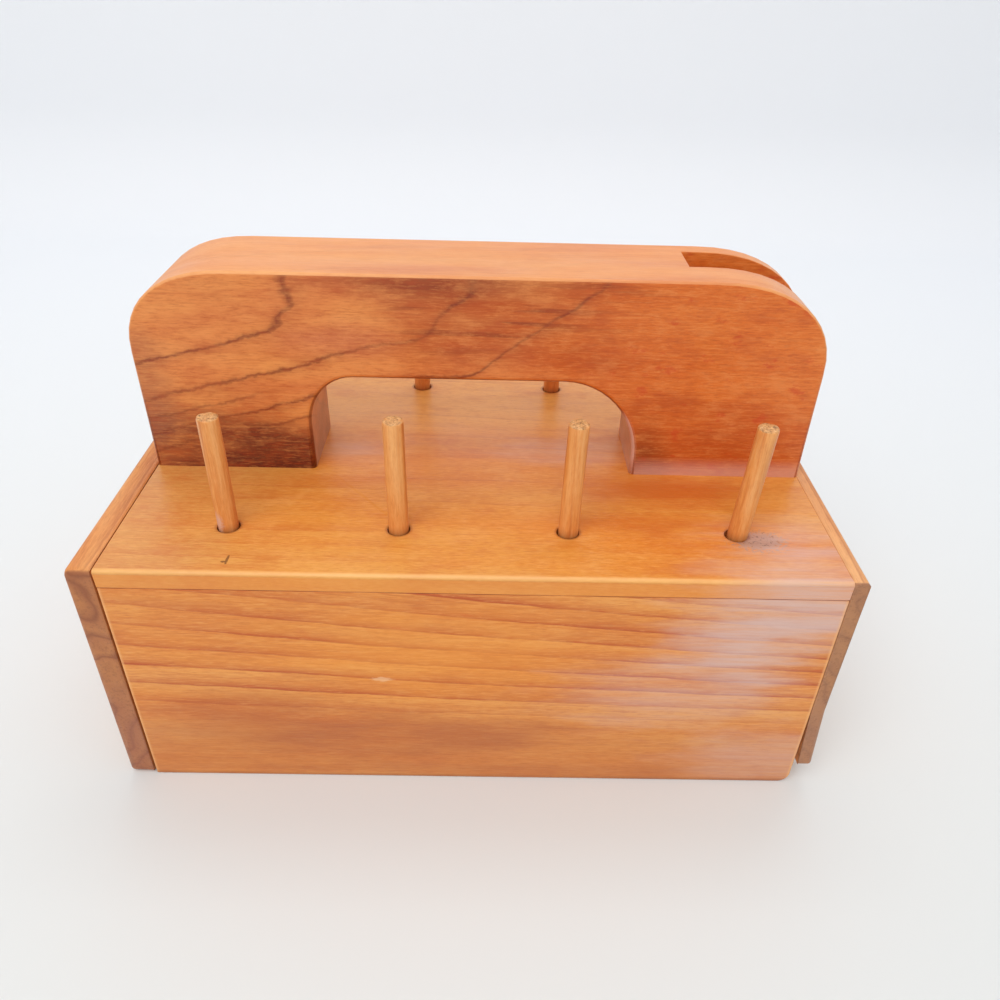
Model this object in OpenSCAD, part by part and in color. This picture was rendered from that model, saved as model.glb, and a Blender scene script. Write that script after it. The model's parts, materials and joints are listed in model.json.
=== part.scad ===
// Wooden thread spool box: a carcass that a drawer slides into from the left end, a sawn carrying
// handle with a scissor slot on top, and two rows of loose dowel pegs that the spools stand on.
// Origin: middle of the carcass on the table. +X to the end panel, +Y to the back, +Z up.

/* [Carcass] */
// Length of the top, front and back boards
box_len = 222; // [205:1:300]
// Depth of the box, from its front face to its back face
box_depth = 148; // [135:1:200]
// Height of the top surface above the table
box_h = 91; // [70:1:140]
// Thickness of the top board
top_t = 6.35; // [6:0.05:12]
// Thickness of the front and back boards
wall_t = 8; // [6:0.5:12]
// Thickness of the bottom board
bottom_t = 8; // [4:0.5:10]
// Radius of the eased edges along the top of the box
edge_r = 1.2; // [0.4:0.1:2.5]
// Radius of the worn lower right corner of the front board
worn_corner_r = 4; // [1:0.5:8]

/* [End panel] */
// Thickness of the thin panel that closes the right end
end_t = 4.8; // [3:0.1:8]
// Height of the end panel's lower edge above the table
end_lift = 9; // [0:0.5:16]
// Height below which the end panel has warped away from the carcass
warp_h = 36; // [24:1:50]
// Gap that the warp leaves at the panel's lower edge
warp_gap = 1.6; // [0:0.1:3]

/* [Handle] */
// Height of the handle above the top surface
handle_h = 69; // [60:1:90]
// Thickness of the handle, front to back
handle_t = 37; // [34:0.5:45]
// Distance of the handle's middle behind the middle of the box
handle_offset = 2; // [0:0.5:6]
// Width of the left leg at the top board
leg_left = 54.5; // [45:0.5:65]
// Width of the right leg at the top board
leg_right = 59; // [57:0.5:66]
// Height of the finger opening above the top surface
grip_h = 34.5; // [30:0.5:42]
// Length of the left outer corner's curve
corner_left_x = 34; // [20:1:45]
// Height of the left outer corner's curve
corner_left_z = 27; // [20:1:30]
// Length of the right outer corner's curve
corner_right_x = 40; // [20:1:45]
// Height of the right outer corner's curve
corner_right_z = 30; // [20:1:32]
// Fullness of the outer corners, where 2 is an ellipse
corner_fullness = 2.3; // [2:0.1:3]
// Length of the finger opening's left curve
grip_left_x = 15; // [8:1:25]
// Height of the finger opening's left curve
grip_left_z = 17.5; // [8:0.5:25]
// Length of the finger opening's right curve
grip_right_x = 25; // [8:1:30]
// Height of the finger opening's right curve
grip_right_z = 27; // [8:0.5:28]

/* [Scissor slot] */
// Length of the slot, from its inner end to the handle's right end
slot_len = 45.5; // [35:0.5:48]
// Width of the slot, front to back
slot_w = 15; // [8:0.5:16]
// Wood in front of the slot
slot_front_wall = 14.5; // [12:0.5:15]
// Height of the slot's floor above the top surface
slot_floor = 12; // [8:0.5:25]

/* [Spool pegs] */
// Diameter of a peg
peg_d = 6.35; // [5:0.05:7]
// Height of a peg above the top surface
peg_h = 39; // [25:0.5:60]
// Depth of the blind hole that a peg stands in
peg_seat = 4.8; // [4:0.1:5.2]
// Radius shaved off the foot of a peg
peg_shave = 0.3; // [0.25:0.05:0.5]
// Clearance all round a peg in its hole
peg_clearance = 0.35; // [0.3:0.05:0.8]
// Distance from the left end of the boards to the first peg
peg_start = 33.5; // [20:0.5:45]
// Distance from the last peg to the right end of the boards
peg_end = 29.8; // [20:0.1:45]
// Distance from the front face to the front row
row_front = 23; // [15:0.5:32]
// Distance from the back face to the back row
row_back = 26; // [15:0.5:28]
// Lean to the right of the third front peg, in degrees
third_peg_lean = 0.8; // [0:0.1:2]
// Lean to the right of the fourth front peg, in degrees
fourth_peg_lean = 3; // [0:0.1:3]

/* [Drawer] */
// Thickness of the drawer's overlay front
drawer_front_t = 8; // [6:0.5:12]
// Gap between the closed drawer front and the carcass
front_gap = 0.7; // [0.3:0.1:2]
// Thickness of the drawer's sides and inner end
drawer_side_t = 6; // [5:0.5:9]
// Gap above the drawer's sides, for the hand that lifts a spool out
drawer_top_gap = 6; // [2:0.5:20]
// Thickness of the drawer's bottom
drawer_bottom_t = 3; // [2.5:0.5:5]
// Gap on each side of the drawer in the carcass
drawer_side_gap = 0.8; // [0.4:0.1:2]
// Gap between the drawer's inner end and the end panel
drawer_stop_gap = 0.3; // [0.2:0.1:1]
// Gap under the drawer
drawer_lift = 0.3; // [0.2:0.1:0.6]

/* [Knob] */
// Diameter of the knob
knob_d = 22; // [16:1:30]
// Distance that the knob stands out from the drawer front
knob_out = 18; // [14:1:26]
// Diameter of the knob's neck
knob_neck_d = 11; // [9:1:14]

/* [Fasteners] */
// Diameter of a screw's shank
screw_d = 3.5; // [3:0.1:4.5]
// Diameter of a screw's head
screw_head_d = 7; // [6:0.1:8.5]
// Length of the screws that hold the handle
handle_screw_len = 28; // [20:1:32]
// Diameter of a brad
brad_d = 1.2; // [1:0.1:1.6]
// Diameter of a brad's head
brad_head_d = 2.2; // [1.8:0.1:2.6]
// Length of a brad
brad_len = 15; // [12:1:18]

/* [Hidden] */
$fn = 64;
cut = 1;
curve_steps = 12;

// Colours
cedar = [0.83, 0.50, 0.22];
cedar_dark = [0.66, 0.36, 0.16];
birch = [0.87, 0.60, 0.34];
pale_wood = [0.80, 0.66, 0.47];
steel = [0.62, 0.62, 0.62];

// Carcass
left_x = -box_len / 2;
right_x = box_len / 2;
front_y = -box_depth / 2;
back_y = box_depth / 2;
top_under = box_h - top_t;

// Handle
handle_mid_y = handle_offset;
handle_y = handle_mid_y - handle_t / 2;
slot_x = right_x - slot_len;
slot_y = handle_y + slot_front_wall;

// Pegs
peg_r = peg_d / 2;
pegs_in_row = 4;
peg_pitch = (box_len - peg_start - peg_end) / (pegs_in_row - 1);
peg_chamfer = 0.3;
peg_seat_gap = 0.1;
peg_foot_r = peg_r - peg_shave;
peg_shave_above = 0.3;
front_row_y = front_y + row_front;
back_row_y = back_y - row_back;
front_leans = [0, 0, third_peg_lean, fourth_peg_lean];
back_leans = [0, 0, 0, 0];

// Drawer
drawer_x = left_x - front_gap;
drawer_len = box_len + front_gap - drawer_stop_gap;
drawer_w = box_depth - 2 * (wall_t + drawer_side_gap);
drawer_z = bottom_t + drawer_lift;
drawer_side_z = drawer_z + drawer_bottom_t;
drawer_side_h = top_under - drawer_top_gap - drawer_side_z;
drawer_end_x = drawer_x + drawer_len - drawer_side_t;
drawer_front_lift = drawer_lift;

// Knob, with the widest part of its crown above its neck
knob_z = box_h / 2;
knob_crown = 0.45 * knob_out;
knob_crown_start = -55;
knob_hole = 0.65 * knob_out;
knob_hole_spare = 1;

// Screws that hold the handle: two in the left leg, one in the right leg's web beside the
// slot, and one in the right leg's front wall
screw_margin = 13;
web_x = (right_x - leg_right + slot_x) / 2;
handle_screw_spots = [
    [left_x + screw_margin, handle_mid_y],
    [left_x + leg_left - screw_margin, handle_mid_y],
    [web_x, handle_mid_y],
    [right_x - screw_margin, handle_y + slot_front_wall / 2]
];

// Screw and brad heads
countersink_h = (screw_head_d - screw_d) / 2;
pan_head_h = 2.2;
brad_head_h = 0.5;

// Brads in the end panel: a row into the top board, and a column into each wall where the
// panel is tight
end_brad_top_y = [for (share = [-0.3, 0, 0.3]) share * box_depth];
end_brad_z = [for (share = [0.25, 0.8]) warp_h + share * (top_under - warp_h)];

// Brads in the drawer
drawer_brad_z = [for (share = [0.15, 0.5, 0.85]) drawer_side_z + share * drawer_side_h];
drawer_brad_x = [for (share = [0.15, 0.5, 0.85]) drawer_x + share * drawer_len];

// Position along the box of peg i, counted from 1
function peg_x(i) = left_x + peg_start + (i - 1) * peg_pitch;

// Power that keeps its sign
function signed_power(v, e) = sign(v) * pow(abs(v), e);

// Quarter of a superellipse about [cx, cz], from angle a0 to a1
function corner(cx, cz, rx, rz, a0, a1, fullness) = [
    for (i = [0 : curve_steps])
        let (a = a0 + (a1 - a0) * i / curve_steps)
        [cx + rx * signed_power(cos(a), 2 / fullness), cz + rz * signed_power(sin(a), 2 / fullness)]
];

// Section of a board whose two upper edges are eased
module eased_section(w, h, r) {
    square([w, h - r]);
    translate([r, 0]) square([w - 2 * r, h]);
    for (x = [r, w - r])
        translate([x, h - r]) circle(r = r);
}

// Board along X with the section in the YZ plane
module along_x(x, y, z, len) {
    translate([x, y, z]) rotate([90, 0, 90]) linear_extrude(len) children();
}

// Outline in the XZ plane made into a board that runs back from y
module along_y(x, y, z, depth) {
    translate([x, y + depth, z]) rotate([90, 0, 0]) linear_extrude(depth) children();
}

// Brad, or its hole, driven along +Z with the top of its head at the origin
module brad() {
    cylinder(h = brad_len, d = brad_d);
    cylinder(h = brad_head_h, d = brad_head_d);
}

// Countersunk screw, or its hole, driven along +Z with its head's face at the origin
module countersunk_screw(len) {
    cylinder(h = countersink_h, d1 = screw_head_d, d2 = screw_d);
    cylinder(h = len, d = screw_d);
}

module handle_screw_set() {
    for (spot = handle_screw_spots)
        translate([spot[0], spot[1], top_under]) countersunk_screw(handle_screw_len);
}

module end_brad_set() {
    face_x = right_x + end_t;
    for (y = end_brad_top_y)
        translate([face_x, y, box_h - top_t / 2]) rotate([0, -90, 0]) brad();
    for (y = [front_y + wall_t / 2, back_y - wall_t / 2], z = end_brad_z)
        translate([face_x, y, z]) rotate([0, -90, 0]) brad();
}

module drawer_brad_set() {
    for (s = [-1, 1]) {
        side_y = s * (drawer_w - drawer_side_t) / 2;
        for (z = drawer_brad_z)
            translate([drawer_x - drawer_front_t, side_y, z]) rotate([0, 90, 0]) brad();
        for (z = [drawer_brad_z[0], drawer_brad_z[2]])
            translate([drawer_end_x + drawer_side_t / 2, s * drawer_w / 2, z])
                rotate([s * 90, 0, 0]) brad();
        for (x = drawer_brad_x)
            translate([x, side_y, drawer_z]) brad();
    }
}

// Holes of both peg rows, blind from the top surface
module peg_hole_set() {
    for (i = [1 : pegs_in_row], y = [front_row_y, back_row_y])
        translate([peg_x(i), y, box_h - peg_seat])
            cylinder(h = peg_seat + cut, r = peg_r + peg_clearance);
}

module top_board() {
    color(cedar)
    difference() {
        along_x(left_x, front_y, top_under, box_len) eased_section(box_depth, top_t, edge_r);
        peg_hole_set();
        handle_screw_set();
        end_brad_set();
    }
}

module front_board() {
    color(cedar)
    difference() {
        along_y(left_x, front_y, 0, wall_t) {
            square([box_len - worn_corner_r, top_under]);
            translate([0, worn_corner_r]) square([box_len, top_under - worn_corner_r]);
            translate([box_len - worn_corner_r, worn_corner_r]) circle(r = worn_corner_r);
        }
        end_brad_set();
    }
}

module back_board() {
    color(cedar)
    difference() {
        translate([left_x, back_y - wall_t, 0]) cube([box_len, wall_t, top_under]);
        end_brad_set();
    }
}

module bottom_board() {
    color(cedar_dark)
    translate([left_x, front_y + wall_t, 0])
        cube([box_len, box_depth - 2 * wall_t, bottom_t]);
}

// Thin panel that is tight above warp_h and stands off the carcass below it
module end_panel() {
    outer_edge = corner(end_t - edge_r, box_h - edge_r, edge_r, edge_r, 0, 90, 2);
    color(cedar_dark)
    difference() {
        along_y(right_x, front_y, 0, box_depth)
            polygon(concat(
                [[0, box_h], [0, warp_h], [warp_gap, end_lift]],
                [[warp_gap + end_t, end_lift], [end_t, warp_h]],
                outer_edge));
        end_brad_set();
    }
}

module end_panel_brads() {
    color(steel) end_brad_set();
}

// Outline of the handle, seen from the front, from its lower left corner
module handle_outline() {
    grip_x0 = leg_left;
    grip_x1 = box_len - leg_right;
    left_curve = corner(corner_left_x, handle_h - corner_left_z,
                        corner_left_x, corner_left_z, 180, 90, corner_fullness);
    right_curve = corner(box_len - corner_right_x, handle_h - corner_right_z,
                         corner_right_x, corner_right_z, 90, 0, corner_fullness);
    grip_right = corner(grip_x1 - grip_right_x, grip_h - grip_right_z,
                        grip_right_x, grip_right_z, 0, 90, 2);
    grip_left = corner(grip_x0 + grip_left_x, grip_h - grip_left_z,
                       grip_left_x, grip_left_z, 90, 180, 2);
    polygon(concat(
        [[0, 0]], left_curve, right_curve, [[box_len, 0], [grip_x1, 0]],
        grip_right, grip_left, [[grip_x0, 0]]));
}

module handle() {
    color(cedar)
    difference() {
        along_y(left_x, handle_y, box_h, handle_t) handle_outline();
        translate([slot_x, slot_y, box_h + slot_floor]) cube([slot_len + cut, slot_w, handle_h]);
        handle_screw_set();
    }
}

module handle_screws() {
    color(steel) handle_screw_set();
}

// Dowel peg with lightly broken ends and a shaved foot, leaning in its hole about the middle of its foot
module peg(i, row_y, lean) {
    len = peg_h + peg_seat - peg_seat_gap;
    shaved = peg_seat - peg_seat_gap + peg_shave_above;
    foot_z = box_h - peg_seat + peg_seat_gap + peg_foot_r * sin(lean);
    color(birch)
    translate([peg_x(i), row_y, foot_z]) rotate([0, lean, 0])
        rotate_extrude()
            polygon([[0, 0], [peg_foot_r - peg_chamfer, 0], [peg_foot_r, peg_chamfer],
                     [peg_foot_r, shaved], [peg_r, shaved], [peg_r, len - peg_chamfer],
                     [peg_r - peg_chamfer, len], [0, len]]);
}

module peg_front(i) {
    peg(i, front_row_y, front_leans[i - 1]);
}

module peg_back(i) {
    peg(i, back_row_y, back_leans[i - 1]);
}

module drawer_front() {
    color(cedar)
    difference() {
        translate([drawer_x - drawer_front_t, front_y, drawer_front_lift])
            cube([drawer_front_t, box_depth, box_h - drawer_front_lift]);
        drawer_brad_set();
        translate([drawer_x - drawer_front_t - cut, 0, knob_z]) rotate([0, 90, 0])
            cylinder(h = drawer_front_t + 2 * cut, d = screw_d);
    }
}

module drawer_side(s) {
    y0 = s < 0 ? -drawer_w / 2 : drawer_w / 2 - drawer_side_t;
    color(pale_wood)
    difference() {
        translate([drawer_x, y0, drawer_side_z]) cube([drawer_len, drawer_side_t, drawer_side_h]);
        drawer_brad_set();
    }
}

module drawer_side_front() {
    drawer_side(-1);
}

module drawer_side_back() {
    drawer_side(1);
}

module drawer_end() {
    inner_w = drawer_w - 2 * drawer_side_t;
    color(pale_wood)
    difference() {
        translate([drawer_end_x, -inner_w / 2, drawer_side_z])
            cube([drawer_side_t, inner_w, drawer_side_h]);
        drawer_brad_set();
    }
}

module drawer_bottom() {
    color(pale_wood)
    difference() {
        translate([drawer_x, -drawer_w / 2, drawer_z]) cube([drawer_len, drawer_w, drawer_bottom_t]);
        drawer_brad_set();
    }
}

module drawer_brads() {
    color(steel) drawer_brad_set();
}

// Turned knob on the drawer front's outer face, with a blind hole for its screw
module drawer_knob() {
    crown_z = knob_out - knob_crown;
    neck_h = crown_z + knob_crown * sin(knob_crown_start);
    profile = concat(
        [[0, 0], [knob_neck_d / 2, 0], [knob_neck_d / 2, neck_h]],
        [for (a = [knob_crown_start : 5 : 85])
            [knob_d / 2 * pow(cos(a), 0.6), crown_z + knob_crown * sin(a)]],
        [[0, knob_out]]);
    color(cedar_dark)
    translate([drawer_x - drawer_front_t, 0, knob_z]) rotate([0, -90, 0])
    difference() {
        rotate_extrude() polygon(profile);
        translate([0, 0, -cut]) cylinder(h = knob_hole + cut, d = screw_d);
    }
}

// Pan head screw from inside the drawer, through its front and into the knob
module knob_screw() {
    reach = drawer_front_t + knob_hole - knob_hole_spare;
    color(steel)
    translate([drawer_x, 0, knob_z]) {
        rotate([0, -90, 0]) cylinder(h = reach, d = screw_d);
        rotate([0, 90, 0]) cylinder(h = pan_head_h, d = screw_head_d);
    }
}

top_board();
front_board();
back_board();
bottom_board();
end_panel();
end_panel_brads();
handle();
handle_screws();
peg_front(1);  // peg_front_1
peg_front(2);  // peg_front_2
peg_front(3);  // peg_front_3
peg_front(4);  // peg_front_4
peg_back(1);  // peg_back_1
peg_back(2);  // peg_back_2
peg_back(3);  // peg_back_3
peg_back(4);  // peg_back_4
drawer_front();
drawer_side_front();
drawer_side_back();
drawer_end();
drawer_bottom();
drawer_brads();
drawer_knob();
knob_screw();
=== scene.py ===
"""Thread spool box of oiled cedar: carcass, drawer, sawn handle and loose dowel pegs."""
import json
import math

import bmesh
import bpy
import numpy as np
from mathutils import Matrix, Vector


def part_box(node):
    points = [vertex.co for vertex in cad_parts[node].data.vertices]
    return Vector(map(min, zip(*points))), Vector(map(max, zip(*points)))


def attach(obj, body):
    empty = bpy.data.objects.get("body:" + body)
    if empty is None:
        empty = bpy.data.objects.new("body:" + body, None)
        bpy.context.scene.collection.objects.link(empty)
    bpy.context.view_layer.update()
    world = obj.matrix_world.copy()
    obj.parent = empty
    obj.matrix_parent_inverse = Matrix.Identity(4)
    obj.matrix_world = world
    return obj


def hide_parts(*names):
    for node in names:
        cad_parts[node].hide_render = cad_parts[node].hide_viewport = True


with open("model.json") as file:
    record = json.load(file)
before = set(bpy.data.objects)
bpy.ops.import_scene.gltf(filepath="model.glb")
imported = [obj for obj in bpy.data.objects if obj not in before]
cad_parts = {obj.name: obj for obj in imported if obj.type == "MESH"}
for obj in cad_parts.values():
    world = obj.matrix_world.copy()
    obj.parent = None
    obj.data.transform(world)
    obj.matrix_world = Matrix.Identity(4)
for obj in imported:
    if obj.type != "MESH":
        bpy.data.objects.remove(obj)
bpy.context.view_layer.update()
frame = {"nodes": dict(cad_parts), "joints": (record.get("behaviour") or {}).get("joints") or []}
MM = 0.001

# Camera, worked out from the photo: place in metres, angles in degrees
CAMERA_PLACE = Vector((0.0030, -0.2587, 0.2449))
CAMERA_PITCH = 34.38
CAMERA_YAW = 1.04
CAMERA_ROLL = 1.66
CAMERA_LENS = 29.69
SENSOR = 36.0

# Main places on the box, read from the frame
TOP_LOW, TOP_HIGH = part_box("top_board")
HANDLE_LOW, HANDLE_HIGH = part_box("handle")
BOX_TOP = TOP_HIGH[2]
LEFT_X, RIGHT_X = TOP_LOW[0], TOP_HIGH[0]
FRONT_Y, BACK_Y = TOP_LOW[1], TOP_HIGH[1]
FRONT_PEGS = [f"peg_front_{i}" for i in range(1, 5)]
BACK_PEGS = [f"peg_back_{i}" for i in range(1, 5)]

# Pegs, in mm: quarter inch dowel with a shaved foot. The rings of painted shade in the top board
# round the pegs lie round a place that far from a peg's left side
PEG_RADIUS = 3.175
PEG_FOOT_RADIUS = 2.875
SHADE_RING_FROM_LEFT = 3.2


def srgb(red, green, blue):
    """Linear colour of a colour given as it looks on a screen, 0 to 255."""
    def channel(value):
        value /= 255
        return value / 12.92 if value <= 0.04045 else ((value + 0.055) / 1.055) ** 2.4
    return (channel(red), channel(green), channel(blue), 1.0)


class Nodes:
    """Small helper that wires a material's nodes."""

    def __init__(self, name):
        self.material = bpy.data.materials.new(name)
        self.material.use_nodes = True
        self.tree = self.material.node_tree
        self.tree.nodes.clear()
        self.output = self.tree.nodes.new("ShaderNodeOutputMaterial")
        self.shader = self.tree.nodes.new("ShaderNodeBsdfPrincipled")
        self.link(self.shader.outputs["BSDF"], self.output.inputs["Surface"])

    def link(self, source, target):
        self.tree.links.new(source, target)

    def feed(self, socket, value):
        """Links a node's output to a socket, or sets the socket to a number, vector or colour."""
        if isinstance(value, bpy.types.NodeSocket):
            self.link(value, socket)
        elif value is not None:
            socket.default_value = value

    def place(self, scale=(1, 1, 1), move=(0, 0, 0)):
        """Object coordinates in millimetres, scaled and then moved."""
        coords = self.tree.nodes.new("ShaderNodeTexCoord")
        mapping = self.tree.nodes.new("ShaderNodeMapping")
        mapping.vector_type = "POINT"
        self.link(coords.outputs["Object"], mapping.inputs["Vector"])
        mapping.inputs["Location"].default_value = move
        mapping.inputs["Scale"].default_value = [s / MM for s in scale]
        return mapping.outputs["Vector"]

    def math(self, operation, a, b=None, c=None, clamp=False):
        n = self.tree.nodes.new("ShaderNodeMath")
        n.operation = operation
        n.use_clamp = clamp
        for socket, value in zip(n.inputs, (a, b, c)):
            self.feed(socket, value)
        return n.outputs["Value"]

    def axes(self, vector):
        n = self.tree.nodes.new("ShaderNodeSeparateXYZ")
        self.link(vector, n.inputs["Vector"])
        return n.outputs["X"], n.outputs["Y"], n.outputs["Z"]

    def noise(self, vector, detail=3.0, rough=0.5, distort=0.0):
        """Fractal noise about 0.5."""
        n = self.tree.nodes.new("ShaderNodeTexNoise")
        self.link(vector, n.inputs["Vector"])
        n.inputs["Scale"].default_value = 1.0
        n.inputs["Detail"].default_value = detail
        n.inputs["Roughness"].default_value = rough
        n.inputs["Distortion"].default_value = distort
        return n.outputs["Fac"]

    def sway(self, vector, amount, detail=3.0):
        """Fractal noise about 0, with at most half of amount to either side."""
        return self.math("MULTIPLY_ADD", self.noise(vector, detail), amount, -amount / 2)

    def band(self, value, low, high, from_low=0.0, to_high=1.0):
        """Smooth step: from_low where value reaches low, to_high where it reaches high."""
        n = self.tree.nodes.new("ShaderNodeMapRange")
        n.interpolation_type = "SMOOTHSTEP"
        self.feed(n.inputs["Value"], value)
        n.inputs["From Min"].default_value = low
        n.inputs["From Max"].default_value = high
        n.inputs["To Min"].default_value = from_low
        n.inputs["To Max"].default_value = to_high
        return n.outputs["Result"]

    def ramp(self, value, stops):
        """Colour or grey along stops of (position, colour or number)."""
        n = self.tree.nodes.new("ShaderNodeValToRGB")
        self.feed(n.inputs["Fac"], value)
        elements = n.color_ramp.elements
        while len(elements) < len(stops):
            elements.new(0.5)
        for element, (position, colour) in zip(elements, stops):
            element.position = position
            element.color = colour if isinstance(colour, tuple) else (colour, colour, colour, 1)
        return n.outputs["Color"]

    def mix(self, factor, a, b):
        n = self.tree.nodes.new("ShaderNodeMix")
        n.data_type = "RGBA"
        n.clamp_factor = True
        self.feed(n.inputs["Factor"], factor)
        self.feed(n.inputs["A"], a)
        self.feed(n.inputs["B"], b)
        return n.outputs["Result"]

    def times(self, *masks):
        """Product of masks and numbers."""
        product = masks[0]
        for mask in masks[1:]:
            product = self.math("MULTIPLY", product, mask)
        return product

    def tint(self, colour, over, *masks):
        """Colour with another laid over it by the product of the masks."""
        return self.mix(self.times(*masks), colour, over)

    def blob(self, centre, radii, wobble=None, soft=0.5):
        """1 inside an ellipsoid at centre (mm) with those radii (mm), falling to 0 at its edge."""
        move = [-c / r for c, r in zip(centre, radii)]
        n = self.tree.nodes.new("ShaderNodeVectorMath")
        n.operation = "LENGTH"
        self.link(self.place([1 / r for r in radii], move), n.inputs[0])
        distance = n.outputs["Value"]
        if wobble is not None:
            distance = self.math("ADD", distance, wobble)
        return self.band(distance, 1.0, soft)

    def bump(self, height, distance):
        n = self.tree.nodes.new("ShaderNodeBump")
        n.inputs["Distance"].default_value = distance
        n.inputs["Strength"].default_value = 1.0
        self.feed(n.inputs["Height"], height)
        return n.outputs["Normal"]


class Wood(Nodes):
    """Oiled wood whose fibres run along one axis (0, 1 or 2)."""

    def __init__(self, name, grain_axis, seed):
        super().__init__(name)
        self.grain_axis = grain_axis
        self.seed = seed

    def along(self, length, across, offset=0.0):
        """Coordinates for noise that is long along the grain: sizes of a feature in mm."""
        scale = [1 / across] * 3
        scale[self.grain_axis] = 1 / length
        shift = self.seed + offset
        return self.place(scale, (shift, shift * 1.7, shift * 0.6))

    def ring_lines(self, field, spacing, ragged=0.5, wander=3.0):
        """Growth ring lines at each spacing (mm) of field: a crisp dark start that fades upward.
        Wide noise bends the lines and fine noise frays them."""
        bend = self.noise(self.along(90, 26, 11.0), 2.0)
        fray = self.noise(self.along(9, 1.6, 5.0))
        field = self.math("MULTIPLY_ADD", self.math("SUBTRACT", bend, 0.5), wander, field)
        field = self.math("MULTIPLY_ADD", self.math("SUBTRACT", fray, 0.5), ragged, field)
        part = self.math("FRACT", self.math("DIVIDE", field, spacing))
        return self.ramp(part, [(0.0, 0.9), (0.03, 1.0), (0.12, 0.62), (0.34, 0.26), (0.70, 0.04),
                                (0.955, 0.0), (1.0, 0.9)])

    def finish(self, colour, relief, rough, coat, bump=0.10):
        """Satin oil finish: roughness follows a wide haze, and the relief is a bump of that many
        mm."""
        self.link(colour, self.shader.inputs["Base Color"])
        haze = self.noise(self.along(40, 14, 31.0))
        self.link(self.band(haze, 0.35, 0.65, rough[0], rough[1]), self.shader.inputs["Roughness"])
        self.shader.inputs["Coat Weight"].default_value = coat
        self.shader.inputs["Coat Roughness"].default_value = 0.30
        self.shader.inputs["Specular IOR Level"].default_value = 0.35
        self.link(self.bump(relief, bump * MM), self.shader.inputs["Normal"])
        return self.material

    def fibres(self, colour, dark, light, streaks=1.0, grain=1.0, grain_size=(4.0, 0.42)):
        """Long fibre streaks, fine grain with short dark pores, and a broad mottling."""
        streak = self.noise(self.along(34, 0.9, 2.0), 4.0, 0.6)
        fine = self.noise(self.along(grain_size[0], grain_size[1], 14.0), 3.0, 0.6)
        mottle = self.noise(self.along(24, 8.0, 8.0), 5.0, 0.65)
        pores = self.noise(self.along(3.2, 0.30, 17.0), 2.0)
        colour = self.tint(colour, dark, self.band(streak, 0.50, 0.74, 0.0, 0.46 * streaks))
        colour = self.tint(colour, light, self.band(streak, 0.50, 0.30, 0.0, 0.36 * streaks))
        colour = self.tint(colour, dark, self.band(fine, 0.50, 0.70, 0.0, 0.42 * grain))
        colour = self.tint(colour, light, self.band(fine, 0.50, 0.32, 0.0, 0.34 * grain))
        colour = self.tint(colour, dark, self.band(mottle, 0.50, 0.70, 0.0, 0.40 * grain))
        colour = self.tint(colour, dark, self.band(pores, 0.60, 0.72, 0.0, 0.34 * grain))
        relief = self.math("MULTIPLY_ADD", pores, -0.6, streak)
        return colour, self.math("MULTIPLY_ADD", fine, 0.5, relief)

    def painted_sheen(self, colour, places):
        """Painted sheen, a pale reflection: soft streaky ellipsoids, each (centre, radii, strength).
        """
        wobble = self.sway(self.along(26, 5, 61.0), 1.1, 4.0)
        streak = self.noise(self.along(20, 0.8, 63.0))
        for centre, radii, strength in places:
            veil = self.band(streak, 0.35, 0.62, 0.72 * strength, strength)
            colour = self.tint(colour, SHEEN_AND_RUB, self.blob(centre, radii, wobble, 0.0), veil)
        return colour


RUST = srgb(196, 88, 28)
# Brown of the painted shade at the pegs' feet
SHADE_BROWN = srgb(146, 72, 34)
PLUM = srgb(120, 50, 28)
CREAM = srgb(250, 184, 108)
# Pale pinkish grey of the painted sheen, and of the rubbed foot of the first front peg
SHEEN_AND_RUB = srgb(222, 188, 178)

# Redder places, and the painted sheen on the top board: centre and radii in mm, strength
TOP_WARM = (((62, -26, 91), (42, 16, 20), 0.70),
            ((52, -45, 91), (44, 8, 20), 0.35),
            ((-40, -24, 91), (50, 6, 20), 0.30))
TOP_SHEEN = (((100, -72, 86), (44, 30, 16), 0.72),
             ((98, -50, 91), (34, 16, 16), 0.36),
             ((30, -2, 91), (34, 15, 10), 0.34),
             ((-46, -4, 91), (20, 12, 10), 0.30),
             ((0, 4, 91), (54, 12, 10), 0.10))
# Nick in the top board: its long stroke and the short one at its foot
TOP_NICK = (((-73.6, -67.6, 91), (0.55, 2.8, 2)),
            ((-74.6, -68.6, 91), (0.9, 0.6, 2)))
# Dull places low on the front board, and its painted sheen
FRONT_DULL = (((-14, -74, 22), (72, 30, 14), 0.52),
              ((-72, -74, 26), (56, 30, 26), 0.36),
              ((20, -74, 4), (100, 30, 6), 0.25))
FRONT_SHEEN = (((84, -74, 71), (34, 30, 34), 0.80),
               ((106, -74, 80), (36, 30, 24), 0.78),
               ((66, -74, 44), (52, 30, 26), 0.45),
               ((98, -74, 12), (44, 30, 22), 0.42))
# Growth lines of the handle: mm from line to line, and their gentle climb, which ends this many
# mm from the left end
LINE_SPACING = 12.6
LINE_CLIMB = 0.27
CLIMB_END = 88.0
# Its steep lines fan out from a point this many mm from the left end and below the box's top,
# from this ratio of distance to height on
FAN_FROM = 27.1
FAN_BELOW = 25.4
FAN_START = 0.265
# Tints of the handle go in from its front face: their place front to back and depth, in mm
TINT_Y = -16
TINT_DEPTH = 60
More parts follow.
